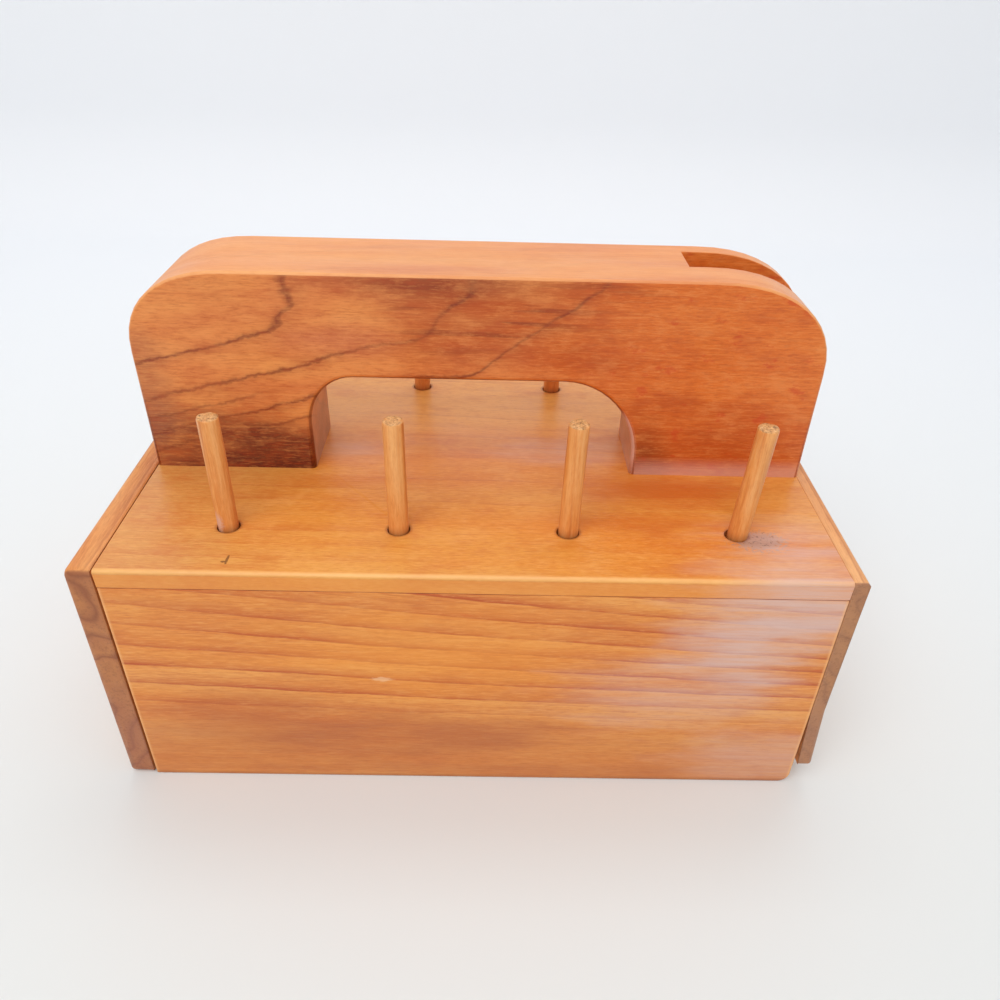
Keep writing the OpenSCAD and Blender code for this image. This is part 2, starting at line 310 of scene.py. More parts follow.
# Each tint: centre and reach along x and z in mm, strength, colour
HANDLE_TINTS = (((-84, 94), (64, 28), 0.92, srgb(112, 34, 28)),
                ((-72, 92), (50, 21), 0.92, srgb(80, 22, 16)),
                ((-109, 112), (14, 38), 0.50, srgb(140, 80, 62)),
                ((-8, 158), (60, 11), 0.86, srgb(128, 44, 20)),
                ((8, 142), (52, 20), 0.72, srgb(150, 54, 18)),
                ((28, 138), (82, 38), 0.62, srgb(210, 88, 0)),
                ((-46, 140), (28, 11), 0.30, srgb(206, 122, 92)),
                ((74, 104), (64, 24), 0.66, srgb(182, 64, 8)),
                ((56, 99), (16, 24), 0.66, srgb(100, 30, 10)))
# Middle of the scissor slot, front to back, in mm
SLOT_Y = 5.5


def joint_grime(w, colour, z):
    """Thin dark line where the top board sits on the front board, broken by noise."""
    near = w.math("ABSOLUTE", w.math("SUBTRACT", z, TOP_LOW[2] / MM))
    broken = w.noise(w.along(14, 1.0, 33.0))
    return w.tint(colour, srgb(156, 74, 28), w.band(near, 0.42, 0.12),
                  w.band(broken, 0.34, 0.60, 0.30, 1.0), 0.62)


def top_tone(w, x, y):
    """Light tone of the top board, painted lighter behind the handle against its shadow, with faint
    long lines and clouds.
    """
    tone = w.noise(w.along(120, 22, 1.0))
    colour = w.ramp(tone, [(0.30, srgb(232, 162, 76)), (0.50, srgb(230, 150, 60)),
                           (0.68, srgb(228, 138, 46))])
    # Painted light: paler behind the handle, where the handle's shadow falls
    colour = w.tint(colour, srgb(250, 182, 94), w.band(y, -2, 24, 0.0, 0.75))
    colour = w.tint(colour, srgb(208, 152, 90), w.band(x, -45, -100, 0.0, 0.45))
    line = w.ring_lines(w.math("MULTIPLY_ADD", x, 0.015, y), 7.5, 1.2, 9.0)
    strength = w.band(w.noise(w.along(60, 12, 40.0), 2.0), 0.44, 0.66, 0.04, 0.34)
    colour = w.tint(colour, RUST, line, strength)
    cloud = w.noise(w.along(22, 11, 77.0), 5.0, 0.68)
    colour = w.tint(colour, srgb(206, 104, 40), w.band(cloud, 0.50, 0.68, 0.0, 0.34))
    return w.tint(colour, srgb(246, 178, 100), w.band(cloud, 0.50, 0.34, 0.0, 0.28))


def top_marks(w, colour):
    """Redder places, the grey speckled stain by the last front peg, painted shade in dark rings
    round the pegs' feet at their holes, and a small nick near the front edge."""
    wobble = w.sway(w.along(30, 8, 21.0), 0.9)
    for centre, radii, strength in TOP_WARM:
        colour = w.tint(colour, srgb(204, 92, 26), w.blob(centre, radii, wobble, 0.1), strength)
    speck = w.noise(w.place((0.9, 0.9, 0.9)), 4.0, 0.7)
    ragged = w.math("MULTIPLY_ADD", speck, 2.6, -1.3)
    stain = w.blob((88.0, -54.0, 91), (9.5, 6.0, 6), ragged, 0.5)
    colour = w.tint(colour, srgb(172, 142, 130), stain, 0.78)
    dots = w.blob((87.5, -53.0, 91), (9.0, 5.5, 6), None, 0.6)
    colour = w.tint(colour, srgb(98, 70, 60), dots, w.band(speck, 0.54, 0.62), 0.8)
    # Painted shade: a dark ring round each peg's foot, where it stands in its hole
    for low, high in (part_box(node) for node in FRONT_PEGS + BACK_PEGS):
        foot = (low[0] / MM + SHADE_RING_FROM_LEFT, (low[1] + high[1]) / 2 / MM, BOX_TOP / MM)
        colour = w.tint(colour, SHADE_BROWN, w.blob(foot, (4.7, 4.4, 4.7), None, 0.78), 0.5)
    for centre, radii in TOP_NICK:
        nick = w.blob(centre, radii, w.times(ragged, 0.5), 0.5)
        colour = w.tint(colour, srgb(96, 52, 20), nick, 0.75)
    return colour


def top_edge(w, colour, y, z):
    """Front edge of the top board: a painted highlight on the corner over a deeper orange face."""
    # Painted highlight along the eased front corner
    corner = w.times(w.band(y, FRONT_Y / MM + 2.0, FRONT_Y / MM + 0.7),
                     w.band(z, BOX_TOP / MM - 1.3, BOX_TOP / MM - 0.5))
    colour = w.tint(colour, srgb(255, 196, 118), corner, 0.55)
    face = w.band(z, BOX_TOP / MM - 0.9, BOX_TOP / MM - 1.6)
    return w.tint(colour, srgb(242, 148, 58), face, 0.55)


def top_wood():
    """Top board: light, marked by use, with a painted sheen at the right and in the opening."""
    w = Wood("cedar_top", 0, 3.0)
    x, y, z = w.axes(w.place())
    colour = top_tone(w, x, y)
    colour, relief = w.fibres(colour, srgb(204, 104, 36), CREAM, 0.40, 0.8, (3.0, 0.5))
    colour = top_marks(w, colour)
    colour = top_edge(w, colour, y, z)
    colour = joint_grime(w, colour, z)
    # Painted sheen, laid last over the marks and the joint line
    colour = w.painted_sheen(colour, TOP_SHEEN)
    return w.finish(colour, relief, (0.30, 0.42), 0.3)


def front_tone(w, x, y, z):
    """Colour and relief of the front board. Its lines dip to the right and crowd together there,
    at even steps of z' = z + (x + 111) (0.0017 z - 0.02), with finer lines between them and red
    flecks on them."""
    tone = w.noise(w.along(110, 13, 1.0))
    colour = w.ramp(tone, [(0.30, srgb(242, 166, 86)), (0.50, srgb(236, 150, 68)),
                           (0.70, srgb(226, 132, 56))])
    crowd = w.math("MULTIPLY_ADD", z, 0.0017, -0.02)
    field = w.math("MULTIPLY_ADD", w.math("SUBTRACT", x, LEFT_X / MM), crowd, z)
    field = w.math("MULTIPLY_ADD", w.math("SUBTRACT", y, FRONT_Y / MM), 0.4, field)
    field = w.math("SUBTRACT", field, 70.5)
    line = w.times(w.ring_lines(field, 8.4, 1.0, 4.0), w.band(z, 26, 46, 0.15, 1.0))
    fade = w.band(w.noise(w.along(50, 10, 40.0), 2.0), 0.34, 0.58, 0.50, 1.0)
    colour = w.tint(colour, srgb(188, 76, 30), line, fade)
    fine = w.ring_lines(w.math("ADD", field, 1.7), 2.8, 1.1, 6.0)
    fine_fade = w.band(w.noise(w.along(45, 8, 47.0), 2.0), 0.50, 0.70, 0.0, 0.34)
    colour = w.tint(colour, RUST, fine, fine_fade)
    colour, relief = w.fibres(colour, srgb(196, 98, 42), CREAM, 0.5, 0.85)
    fleck = w.noise(w.along(7, 2.2, 57.0))
    colour = w.tint(colour, srgb(206, 84, 34), w.band(fleck, 0.60, 0.72), line, 0.7)
    return colour, relief


def front_marks(w, colour, x, z):
    """Dull mottled lower third, warm middle, painted sheen, painted highlights along the ends,
    painted shade along the foot and a short pale scratch."""
    wobble = w.sway(w.along(34, 7, 53.0), 1.4, 4.0)
    colour = w.tint(colour, srgb(192, 112, 66), w.band(z, 44, 14, 0.0, 0.34))
    for centre, radii, strength in FRONT_DULL:
        colour = w.tint(colour, srgb(176, 94, 56), w.blob(centre, radii, wobble, 0.1), strength)
    warm = w.blob((-8, -74, 60), (86, 30, 26), wobble, 0.1)
    colour = w.tint(colour, srgb(255, 162, 56), warm, 0.32)
    # Painted sheen, mostly over the right of the front board
    colour = w.painted_sheen(colour, FRONT_SHEEN)
    # Painted highlight along both ends of the board
    tip = w.band(w.math("ABSOLUTE", x), RIGHT_X / MM - 1.3, RIGHT_X / MM - 0.5, 0.0, 0.5)
    colour = w.tint(colour, srgb(252, 190, 124), tip)
    # Painted shade along the foot, where the board meets the floor
    foot = w.times(w.band(z, 2.2, 0.4), w.band(wobble, -0.3, 0.3, 0.3, 0.6))
    colour = w.tint(colour, srgb(150, 84, 48), foot)
    ragged = w.sway(w.along(2.4, 1.2, 71.0), 1.6)
    scratch = w.blob((-29.5, -74, 48.4), (4.0, 3, 1.2), ragged, 0.5)
    return w.tint(colour, srgb(252, 200, 150), scratch, 0.6)


def front_wood():
    """Front board, and the back and bottom boards, which are of the same wood."""
    w = Wood("cedar_front", 0, 7.0)
    x, y, z = w.axes(w.place())
    colour, relief = front_tone(w, x, y, z)
    colour = front_marks(w, colour, x, z)
    colour = joint_grime(w, colour, z)
    return w.finish(colour, relief, (0.38, 0.52), 0.12)


def handle_level(w, along, above, behind):
    """Level of the handle's growth rings, and the mm per level that its lines are drawn for. With
    a = distance from the left end, h = height above the box and c = (a - 27.1) / (h + 25.4)
    - 0.265, the level is the smaller of (h - 0.27 min(a, 88)) / 12.6 and 3 - 1.37 c - 0.52 c^2:
    each line climbs gently, then turns up steeply. It rises by 0.05 for each mm towards the
    back, and noise bends and frays it."""
    reach = w.math("SMOOTH_MIN", along, CLIMB_END, 16.0)
    shallow = w.math("MULTIPLY_ADD", reach, -LINE_CLIMB, above)
    shallow = w.math("DIVIDE", shallow, LINE_SPACING)
    fan = w.math("DIVIDE", w.math("SUBTRACT", along, FAN_FROM), w.math("ADD", above, FAN_BELOW))
    fan = w.math("SUBTRACT", fan, FAN_START)
    steep = w.math("MULTIPLY", fan, w.math("MULTIPLY_ADD", fan, -0.52, -1.37))
    steep = w.math("ADD", steep, 3.0)
    level = w.math("SMOOTH_MIN", shallow, steep, 0.28)
    level = w.math("MULTIPLY_ADD", behind, 0.05, level)
    steepness = w.band(w.math("SUBTRACT", shallow, steep), -0.25, 0.35)
    step_mm = w.math("MULTIPLY_ADD", steepness, 36.0, LINE_SPACING)
    bend = w.sway(w.along(30, 13, 11.0), 0.44)
    fray = w.math("DIVIDE", w.sway(w.place((0.5, 0.5, 0.5)), 2.0), step_mm)
    level = w.math("ADD", level, w.math("ADD", bend, fray))
    return level, w.math("MULTIPLY_ADD", steepness, 10.0, LINE_SPACING)


def figure_line(w, level, drawn_mm, offset):
    """Line where level - offset is whole: 1 on the line, 0 from 6 mm on its low side and from
    2.4 mm on its high side if a level takes drawn_mm. A smaller drawn_mm widens it."""
    part = w.math("FRACT", w.math("ADD", level, 8.5 - offset))
    aside = w.math("MULTIPLY", w.math("SUBTRACT", part, 0.5), drawn_mm)
    return w.ramp(w.math("MULTIPLY_ADD", aside, 1 / 12, 0.5, clamp=True),
                  [(0.0, 0.0), (0.22, 0.04), (0.42, 0.26), (0.465, 0.85), (0.50, 1.0),
                   (0.535, 0.50), (0.58, 0.14), (0.70, 0.0)])


def handle_patch(w, centre, reach, wobble):
    """Soft patch that goes deep into the handle from its front face."""
    return w.blob((centre[0], TINT_Y, centre[1]), (reach[0], TINT_DEPTH, reach[1]), wobble, 0.1)


def handle_tone(w, along):
    """Orange wood, plainer to the right, with a plum left leg, a dark streaky band at the top
    and a red brown right foot."""
    tone = w.noise(w.along(40, 16, 1.0))
    colour = w.ramp(tone, [(0.30, srgb(240, 158, 84)), (0.50, srgb(230, 140, 72)),
                           (0.70, srgb(216, 120, 62))])
    colour = w.tint(colour, srgb(228, 108, 4), w.band(along, 120, 175, 0.0, 0.65))
    wobble = w.sway(w.along(40, 9, 81.0), 1.2, 4.0)
    for centre, reach, strength, tint in HANDLE_TINTS:
        colour = w.tint(colour, tint, handle_patch(w, centre, reach, wobble), strength)
    streaks = w.band(w.noise(w.along(34, 2.2, 95.0), 4.0), 0.49, 0.64)
    top_band = handle_patch(w, (8, 148), (62, 22), wobble)
    return w.tint(colour, srgb(112, 36, 18), streaks, top_band, 0.62)


def handle_lines(w, colour, along, above, level, drawn_mm):
    """Dark lines at whole levels over the left two thirds, and plum ones between them low in
    the left leg."""
    line = figure_line(w, level, drawn_mm, 0.0)
    fade = w.band(w.noise(w.along(36, 14, 43.0), 2.0), 0.34, 0.58, 0.55, 1.0)
    colour = w.tint(colour, srgb(120, 42, 20), line, w.band(along, 160, 148),
                    w.band(level, 0.35, 0.75), fade, 0.85)
    half = figure_line(w, level, drawn_mm, 0.48)
    return w.tint(colour, PLUM, half, w.band(above, 32, 24), w.band(along, 80, 60), 0.62)


def handle_grain(w, colour, along, above):
    """Colour and relief with the fibres, a felt-like mottling, red flecks at the right and a pale
    right foot."""
    colour, relief = w.fibres(colour, srgb(176, 74, 28), srgb(242, 158, 86), 0.6, 0.75,
                              (3.4, 0.55))
    felt = w.noise(w.place((0.10, 0.22, 0.20)), 6.0, 0.68)
    colour = w.tint(colour, srgb(184, 74, 28), w.band(felt, 0.50, 0.68, 0.0, 0.28))
    colour = w.tint(colour, srgb(246, 164, 92), w.band(felt, 0.50, 0.34, 0.0, 0.22))
    fleck = w.noise(w.along(7, 4.0, 57.0), 5.0, 0.65)
    colour = w.tint(colour, srgb(206, 64, 22), w.band(fleck, 0.58, 0.70),
                    w.band(along, 130, 165), 0.5)
    foot = w.times(w.band(above, 8, 1), w.band(along, 150, 170, 0.0, 0.60))
    return w.tint(colour, srgb(228, 176, 158), foot), relief


def handle_edges(w, colour, along, above, behind, across):
    """Front corner: painted highlight outside, painted shade round the finger opening and a pale
    painted reflection low at its right. The opening's sides get a paler painted reflection."""
    corner = w.times(w.band(behind, 0.08, 0.35), w.band(behind, 1.7, 1.0), w.band(above, 6, 14))
    in_grip = w.times(w.band(above, 38.0, 34.0), w.band(along, 44, 50), w.band(along, 172, 166))
    outside = w.math("SUBTRACT", 0.6, in_grip, clamp=True)
    # Painted highlight along the front corner outside the opening
    colour = w.tint(colour, srgb(252, 184, 120), corner, outside)
    # Painted shade on the rounded front edge round the opening
    colour = w.tint(colour, srgb(104, 40, 24), corner, in_grip, 0.55)
    # Painted reflection, pale, on the rounded front edge low at the opening's right
    low_right_reflection = w.times(w.band(above, 26, 20), w.band(along, 150, 156),
                        w.band(across, -0.12, -0.4))
    colour = w.tint(colour, srgb(236, 188, 168), w.band(behind, 3.0, 0.6), low_right_reflection, 0.7)
    # Painted reflection on the side faces of the opening
    side = w.times(in_grip, w.band(w.math("ABSOLUTE", across), 0.45, 0.9))
    return w.tint(colour, srgb(222, 168, 128), side, w.band(behind, 0.8, 2.4), 0.62)


def handle_top(w, colour, along, above, y, up):
    """Paler straight wood on the handle's top, and painted shade inside the scissor slot."""
    tone = w.noise(w.along(90, 9, 91.0))
    top_colour = w.ramp(tone, [(0.32, srgb(242, 168, 102)), (0.55, srgb(236, 154, 90)),
                               (0.72, srgb(224, 134, 78))])
    top_colour, _ = w.fibres(top_colour, srgb(206, 112, 58), srgb(252, 190, 126), 0.4, 0.5)
    on_top = w.times(w.band(up, 0.20, 0.60), w.band(above, 30.0, 44.0))
    colour = w.tint(colour, top_colour, on_top, 0.9)
    # Painted shade inside the scissor slot
    off_slot = w.math("ABSOLUTE", w.math("SUBTRACT", y, SLOT_Y))
    slot_shade = w.times(w.band(above, 60, 40), w.band(off_slot, 8.6, 7.6), w.band(along, 170, 180))
    return w.tint(colour, srgb(120, 44, 22), slot_shade, 0.45)


def handle_wood():
    """Handle: one strongly figured board."""
    w = Wood("cedar_handle", 0, 5.0)
    x, y, z = w.axes(w.place())
    along = w.math("SUBTRACT", x, LEFT_X / MM)
    above = w.math("SUBTRACT", z, BOX_TOP / MM)
    behind = w.math("SUBTRACT", y, HANDLE_LOW[1] / MM)
    geometry = w.tree.nodes.new("ShaderNodeNewGeometry")
    across, _, up = w.axes(geometry.outputs["True Normal"])
    level, drawn_mm = handle_level(w, along, above, behind)
    colour = handle_tone(w, along)
    colour = handle_lines(w, colour, along, above, level, drawn_mm)
    colour, relief = handle_grain(w, colour, along, above)
    colour = handle_edges(w, colour, along, above, behind, across)
    colour = handle_top(w, colour, along, above, y, up)
    return w.finish(colour, relief, (0.38, 0.52), 0.15)


def end_grain(w, field, z, seed, lift):
    """Brown end grain: curling rings and dark speckle, duller low down."""
    curl = w.noise(w.place((0.050, 0.02, 0.034), (seed, 0, 0)), 2.0, 0.5, 0.6)
    rings = w.math("FRACT", w.math("MULTIPLY_ADD", curl, 6.0, w.times(field, 0.05)))
    colour = w.ramp(rings, [(0.0, srgb(152, 88, 54)), (0.12, srgb(170, 104, 64)),
                            (0.45, srgb(190, 122, 72)), (0.85, srgb(180, 112, 68)),
                            (1.0, srgb(152, 88, 54))])
    colour = w.tint(colour, srgb(168, 104, 80), w.band(z, 52, 26, 0.0, 0.42))
    colour = w.tint(colour, srgb(180, 136, 100), lift)
    speckle = w.noise(w.place((1.1, 1.1, 1.1)), 4.0, 0.65)
    return w.tint(colour, srgb(126, 74, 48), w.band(speckle, 0.48, 0.68, 0.0, 0.34))


def end_wood(name, seed, outer_sign, lift=0.0):
    """End boards, whose grain runs front to back: long bowed lines on the broad faces, and end
    grain on the front and back edges. A lift above 0 makes the board paler."""
    w = Wood(name, 1, seed)
    x, y, z = w.axes(w.place())
    tone = w.noise(w.along(90, 14, 1.0))
    colour = w.ramp(tone, [(0.32, srgb(236, 168, 104)), (0.52, srgb(226, 148, 82)),
                           (0.70, srgb(202, 116, 60))])
    colour = w.tint(colour, srgb(244, 190, 134), lift)
    bow = w.math("POWER", w.math("MULTIPLY_ADD", z, 0.02, -0.9), 2.0)
    field = w.math("MULTIPLY_ADD", bow, 6.0, z)
    field = w.math("MULTIPLY_ADD", x, outer_sign * 1.6, field)
    colour = w.tint(colour, srgb(170, 88, 42), w.ring_lines(field, 8.4, 1.4, 9.0), 0.42)
    colour, relief = w.fibres(colour, srgb(176, 96, 48), CREAM, 0.8, 0.7)
    edge = w.band(w.math("ABSOLUTE", y), BACK_Y / MM - 1.0, BACK_Y / MM - 0.3)
    colour = w.tint(colour, end_grain(w, field, z, seed, lift), edge)
    return w.finish(colour, relief, (0.42, 0.58), 0.12)


def dowel_wood():
    """Pegs: straight fine grain along the peg, brown-flecked sawn ends, painted shade at the
    foot, and a rubbed pale foot on the first front peg."""
    w = Wood("dowel", 2, 9.0)
    _, _, z = w.axes(w.place())
    tone = w.noise(w.along(60, 2.2, 1.0))
    colour = w.ramp(tone, [(0.30, srgb(244, 174, 104)), (0.52, srgb(234, 152, 78)),
                           (0.72, srgb(206, 118, 52))])
    colour, relief = w.fibres(colour, srgb(192, 104, 44), srgb(252, 196, 130), 0.5, 0.6)
    speckle = w.noise(w.place((1.6, 1.6, 1.6)), 4.0, 0.7)
    sawn = w.ramp(speckle, [(0.36, srgb(238, 184, 124)), (0.52, srgb(206, 148, 92)),
                            (0.66, srgb(128, 84, 48))])
    peg_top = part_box("peg_front_1")[1][2] / MM
    colour = w.tint(colour, sawn, w.band(z, peg_top - 0.75, peg_top - 0.25))
    # Painted shade low on each peg, where it goes into the top board
    colour = w.tint(colour, SHADE_BROWN, w.band(z, BOX_TOP / MM + 3.5, BOX_TOP / MM - 0.5, 0.0, 0.45))
    rubbed = w.blob((-79.4, -51, 94), (2.6, 6, 5.5), w.math("SUBTRACT", speckle, 0.5), 0.3)
    colour = w.tint(colour, SHEEN_AND_RUB, rubbed, 0.75)
    return w.finish(colour, relief, (0.40, 0.55), 0.15, 0.10)


def bare_wood():
    """Drawer box: bare pale softwood with soft straight lines."""
    w = Wood("bare_softwood", 0, 13.0)
    _, y, z = w.axes(w.place())
    tone = w.noise(w.along(120, 12, 1.0))
    colour = w.ramp(tone, [(0.30, srgb(240, 208, 162)), (0.52, srgb(230, 190, 140)),
                           (0.72, srgb(212, 164, 112))])
    line = w.ring_lines(w.math("ADD", y, z), 5.5, 0.8, 6.0)
    colour = w.tint(colour, srgb(190, 132, 82), line, 0.4)
    colour, relief = w.fibres(colour, srgb(196, 142, 92), srgb(248, 222, 180), 0.6, 0.4)
    return w.finish(colour, relief, (0.6, 0.75), 0.0)


def steel():
    """Brads and screws: grey steel, faintly spotted."""
    n = Nodes("steel")
    spots = n.noise(n.place((0.9, 0.9, 0.9)), 4.0, 0.6)
    n.link(n.ramp(spots, [(0.40, srgb(170, 168, 164)), (0.62, srgb(120, 112, 104))]),
           n.shader.inputs["Base Color"])
    n.link(n.band(spots, 0.3, 0.7, 0.28, 0.5), n.shader.inputs["Roughness"])
    n.shader.inputs["Metallic"].default_value = 1.0
    return n.material


def set_material(obj, material):
    """Gives the object that one material."""
    obj.data.materials.clear()
    obj.data.materials.append(material)


def smooth(mesh, degrees):
    """Smooth shading that stays crisp over edges sharper than that."""
    mesh.polygons.foreach_set("use_smooth", [True] * len(mesh.polygons))
    mesh.set_sharp_from_angle(angle=math.radians(degrees))


# Points of the CAD mesh nearer than this are one point
SAME_POINT = 0.002 * MM
# Faces that turn by less than this are one face, in degrees
FLAT = 0.6
# Edges shorter than this, as round a brad hole, aren't eased
SHORTEST_EASED = 0.4 * MM
# Only edges that turn by more than this are eased, in degrees
SHARP_EDGE = 30
# Edges of the finger opening lie lower than this above the box, and farther in than this from
# the left and right ends, in mm
OPENING_HEIGHT = 36
OPENING_FROM_LEFT = 40
OPENING_FROM_RIGHT = 45


def eased_board(node, body, material, ease):
    """The CAD board with its sharp edges eased: its triangles are merged into flat faces, and each
    edge sharper than 30 degrees is rounded by ease(middle, ends), in mm. The bevel's width is
    the largest of those, and the weight of an edge is its own share of it. The short edges of
    brad and screw holes stay as they are."""
    mesh = frame["nodes"][node].data.copy()
    work = bmesh.new()
    work.from_mesh(mesh)
    bmesh.ops.remove_doubles(work, verts=work.verts, dist=SAME_POINT)
    bmesh.ops.dissolve_limit(work, angle_limit=math.radians(FLAT), verts=work.verts,
                             edges=work.edges)
    weight = work.edges.layers.float.new("bevel_weight_edge")
    widths = {}
    for edge in work.edges:
        if edge.calc_length() < SHORTEST_EASED:
            continue
        if len(edge.link_faces) == 2 and edge.calc_face_angle(0.0) > math.radians(SHARP_EDGE):
            ends = [vert.co / MM for vert in edge.verts]
            widths[edge] = ease((ends[0] + ends[1]) / 2, ends)
    widest = max(widths.values())
    for edge, width in widths.items():
        edge[weight] = width / widest
    work.to_mesh(mesh)
    work.free()
    piece = bpy.data.objects.new(f"{node}_eased", mesh)
    bpy.context.scene.collection.objects.link(piece)
    bevel = piece.modifiers.new("ease", "BEVEL")
    bevel.width = widest * MM
    bevel.segments = 4
    bevel.limit_method = "WEIGHT"
    bevel.use_clamp_overlap = False
    smooth(mesh, 40)
    set_material(piece, material)
    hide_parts(node)
    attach(piece, body)


def even_ease(width):
    """The same easing on every sharp edge."""
    return lambda middle, ends: width


def handle_ease(middle, ends):
    """Handle: the finger opening is well rounded at the back and less at the front, the outside
    is broken by hand, the slot is left nearly sharp, and the feet are sawn sharp."""
    x, y, z = middle
    foot = BOX_TOP / MM
    front = abs(y - HANDLE_LOW[1] / MM) < 0.1
    back = abs(y - HANDLE_HIGH[1] / MM) < 0.1
    if max(end.z for end in ends) < foot + 0.1:
        return 0.0
    if not (front or back):
        return 0.3
    left, right = LEFT_X / MM + OPENING_FROM_LEFT, RIGHT_X / MM - OPENING_FROM_RIGHT
    if z < foot + OPENING_HEIGHT and left < x < right:
        return 1.6 if front else 8.0
    return 1.1 if front else 1.6


def end_ease(inner_reach, outer_width, inner_width):
    """End boards: edges farther out than inner_reach are well rounded, the others nearly sharp."""
    return lambda middle, ends: outer_width if abs(middle.x) > inner_reach else inner_width


def grid_mesh(name, points):
    """Closed surface from rings of points (rings x around x 3), each end closed by a fan."""
    rings, around, _ = points.shape
    verts = points.reshape(-1, 3)
    ring = np.arange(rings - 1)[:, None] * around
    step = np.arange(around)[None, :]
    after = (step + 1) % around
    quads = np.stack([ring + step, ring + after, ring + around + after, ring + around + step],
                     axis=-1).reshape(-1, 4)
    ends = np.stack([points[0].mean(axis=0), points[-1].mean(axis=0)])
    verts = np.concatenate([verts, ends])
    first, last = len(verts) - 2, len(verts) - 1
    base = (rings - 1) * around
    fans = [(int((i + 1) % around), int(i), first) for i in range(around)]
    fans += [(base + i, base + (i + 1) % around, last) for i in range(around)]
    mesh = bpy.data.meshes.new(name)
    mesh.from_pydata(verts.tolist(), [], quads.tolist() + fans)
    mesh.update()
    return mesh


# Points round a peg, rings along its straight part, and first seed of its random waves
PEG_SIDES = 48
PEG_RINGS = 22
PEG_SEED = 100


def dowel_rings(length, phase):
    """Rings of an upright dowel as x, y and height, in metres from its foot. The radius wavers by
    about 1%, and the sawn upper end is uneven: two waves round the rim lower it by up to
    0.44 mm, and they fade in over the last 7% of the length."""
    around = np.linspace(0, 2 * np.pi, PEG_SIDES, endpoint=False)
    rise = np.concatenate([[0.0, 0.3], np.linspace(0.8, length / MM - 0.7, PEG_RINGS),
                           [length / MM - 0.35, length / MM - 0.15, length / MM - 0.05]]) * MM
    width = np.ones(len(rise))
    width[0], width[-3], width[-2], width[-1] = 0.93, 0.975, 0.90, 0.70
    waver = 1 + 0.007 * np.sin(2 * around[None, :] + phase[0] + rise[:, None] * 90)
    waver += 0.005 * np.sin(5 * around[None, :] + phase[1] - rise[:, None] * 160)
    spread = (width[:, None] * waver / waver.max()) * PEG_RADIUS * MM
    chip = 0.5 * (np.sin(2 * around + phase[2]) + np.sin(5 * around + phase[3])) * 0.22 - 0.22
    near_end = np.clip((rise / length - 0.93) / 0.07, 0, 1)
    height = rise[:, None] + near_end[:, None] * chip[None, :] * MM
    return spread * np.cos(around), spread * np.sin(around), height


def dowel(node, body, index, material):
    """Peg made of dowel_rings, which stands on the CAD peg's foot and leans as that peg does."""
    low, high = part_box(node)
    radius = PEG_RADIUS * MM
    axis = next(joint["axis"] for joint in frame["joints"] if joint["child"] == body)
    lean = math.atan2(axis[0], axis[2])
    ends = (PEG_FOOT_RADIUS + PEG_RADIUS) * MM * math.sin(lean)
    length = (high[2] - low[2] - ends) / math.cos(lean)
    rng = np.random.default_rng(PEG_SEED + index)
    x, y, tall = dowel_rings(length, rng.uniform(0, 2 * np.pi, 4))
    turned_x = x * math.cos(lean) + tall * math.sin(lean)
    turned_z = -x * math.sin(lean) + tall * math.cos(lean)
    foot = (low[0] + radius * math.cos(lean), (low[1] + high[1]) / 2,
            low[2] + radius * math.sin(lean))
    points = np.stack([turned_x + foot[0], y + foot[1], turned_z + foot[2]], axis=-1)
    mesh = grid_mesh(f"{node}_dowel", points)
    smooth(mesh, 50)
    piece = bpy.data.objects.new(f"{node}_dowel", mesh)
    bpy.context.scene.collection.objects.link(piece)
    set_material(piece, material)
    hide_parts(node)
    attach(piece, body)


def box_pieces():
    """Dresses the carcass, the handle and the drawer."""
    top, front, handle = top_wood(), front_wood(), handle_wood()
    left_end = end_wood("cedar_drawer_front", 19.0, -1)
    right_end = end_wood("cedar_end_panel", 29.0, 1, 0.45)
    bare, metal = bare_wood(), steel()
    eased_board("top_board", "carcass", top, even_ease(0.25))
    eased_board("front_board", "carcass", front, even_ease(0.5))
    eased_board("back_board", "carcass", front, even_ease(0.5))
    eased_board("bottom_board", "carcass", front, even_ease(0.4))
    eased_board("end_panel", "carcass", right_end, end_ease(113.5, 1.3, 0.12))
    eased_board("handle", "carcass", handle, handle_ease)
    eased_board("drawer_front", "drawer", left_end, end_ease(114.0, 2.0, 0.5))
    for node in ("drawer_side_front", "drawer_side_back", "drawer_end", "drawer_bottom"):
        eased_board(node, "drawer", bare, even_ease(0.4))
    set_material(frame["nodes"]["drawer_knob"], left_end)
    for node in ("end_panel_brads", "handle_screws", "drawer_brads", "knob_screw"):
        set_material(frame["nodes"][node], metal)


def pegs():
    """The eight loose pegs, each on its own body."""
    material = dowel_wood()
    for i, node in enumerate(FRONT_PEGS):
        dowel(node, f"front_peg_{i + 1}", i, material)
    for i, node in enumerate(BACK_PEGS):
        dowel(node, f"back_peg_{i + 1}", 4 + i, material)


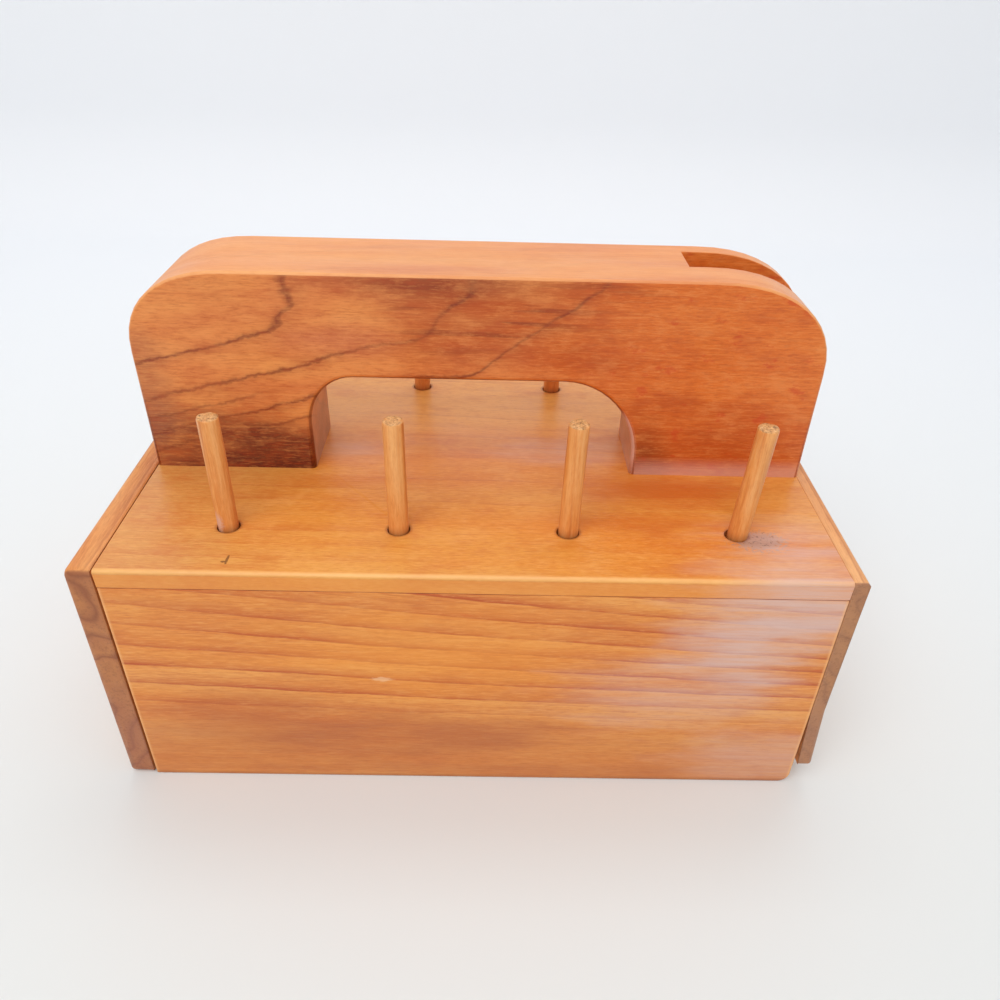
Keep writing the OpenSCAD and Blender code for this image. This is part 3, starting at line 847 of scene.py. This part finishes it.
def stage_surface():
    """Pale floor that sweeps up into a wall behind the box: a profile carried along X."""
    reach = 3.0
    near, far = -2.5, 0.62
    bend, tall = 0.10, 2.2
    arc = np.linspace(0, np.pi / 2, 13)
    profile = np.concatenate([[[near, 0.0]],
                              np.stack([far - bend + bend * np.sin(arc),
                                        bend - bend * np.cos(arc)], axis=-1),
                              [[far, tall]]])
    left = np.column_stack([np.full(len(profile), -reach), profile])
    right = np.column_stack([np.full(len(profile), reach), profile])
    verts = np.concatenate([left, right])
    count = len(profile)
    faces = [(i, i + count, i + count + 1, i + 1) for i in range(count - 1)]
    mesh = bpy.data.meshes.new("floor_sweep")
    mesh.from_pydata(verts.tolist(), [], faces)
    mesh.polygons.foreach_set("use_smooth", [True] * len(faces))
    floor = bpy.data.objects.new("floor_sweep", mesh)
    bpy.context.scene.collection.objects.link(floor)
    n = Nodes("pale_floor")
    _, depth, _ = n.axes(n.place())
    # Painted falloff of light: the floor is darker towards the front and paler towards the wall
    painted_falloff = n.ramp(n.band(depth, -420, 520), [(0.0, srgb(223, 225, 222)), (0.5, srgb(234, 236, 236)),
                                              (1.0, srgb(243, 245, 248))])
    n.link(painted_falloff, n.shader.inputs["Base Color"])
    n.shader.inputs["Roughness"].default_value = 0.8
    set_material(floor, n.material)


def area_light(name, place, target, size, power, colour):
    """Round lamp at place, in metres, that faces target."""
    data = bpy.data.lights.new(name, "AREA")
    data.shape = "DISK"
    data.size = size
    data.energy = power
    data.color = colour
    lamp = bpy.data.objects.new(name, data)
    lamp.location = place
    lamp.rotation_euler = (Vector(target) - Vector(place)).to_track_quat("-Z", "Y").to_euler()
    bpy.context.scene.collection.objects.link(lamp)


def lights():
    """Soft window light from the front left, a softer one from behind, and an even room."""
    area_light("window", (-0.25, -0.75, 1.25), (0, 0, 0.08), 1.2, 9.6, (1.0, 0.99, 0.97))
    area_light("sky", (0.1, 0.7, 1.3), (0, 0, 0.1), 1.2, 7.5, (0.98, 0.985, 1.0))
    world = bpy.data.worlds.new("room")
    world.use_nodes = True
    world.node_tree.nodes["Background"].inputs["Color"].default_value = (0.96, 0.975, 1.0, 1.0)
    world.node_tree.nodes["Background"].inputs["Strength"].default_value = 0.62
    bpy.context.scene.world = world


def camera():
    """Camera at the photo's place: pitch down, small yaw to the right, small roll."""
    pitch, yaw, roll = (math.radians(a) for a in (CAMERA_PITCH, CAMERA_YAW, CAMERA_ROLL))
    forward = Vector((math.sin(yaw) * math.cos(pitch), math.cos(yaw) * math.cos(pitch),
                      -math.sin(pitch)))
    level = Vector((math.cos(yaw), -math.sin(yaw), 0.0))
    upward = level.cross(forward)
    right = level * math.cos(roll) + upward * math.sin(roll)
    up = -level * math.sin(roll) + upward * math.cos(roll)
    turn = Matrix((right, up, -forward)).transposed().to_4x4()
    data = bpy.data.cameras.new("camera")
    data.sensor_fit = "HORIZONTAL"
    data.sensor_width = SENSOR
    data.lens = CAMERA_LENS
    data.clip_start = 0.01
    eye = bpy.data.objects.new("camera", data)
    eye.matrix_world = Matrix.Translation(CAMERA_PLACE) @ turn
    bpy.context.scene.collection.objects.link(eye)
    bpy.context.scene.camera = eye


camera()
lights()
stage_surface()
box_pieces()
pegs()
bpy.context.scene.view_settings.view_transform = "Standard"
bpy.context.view_layer.update()
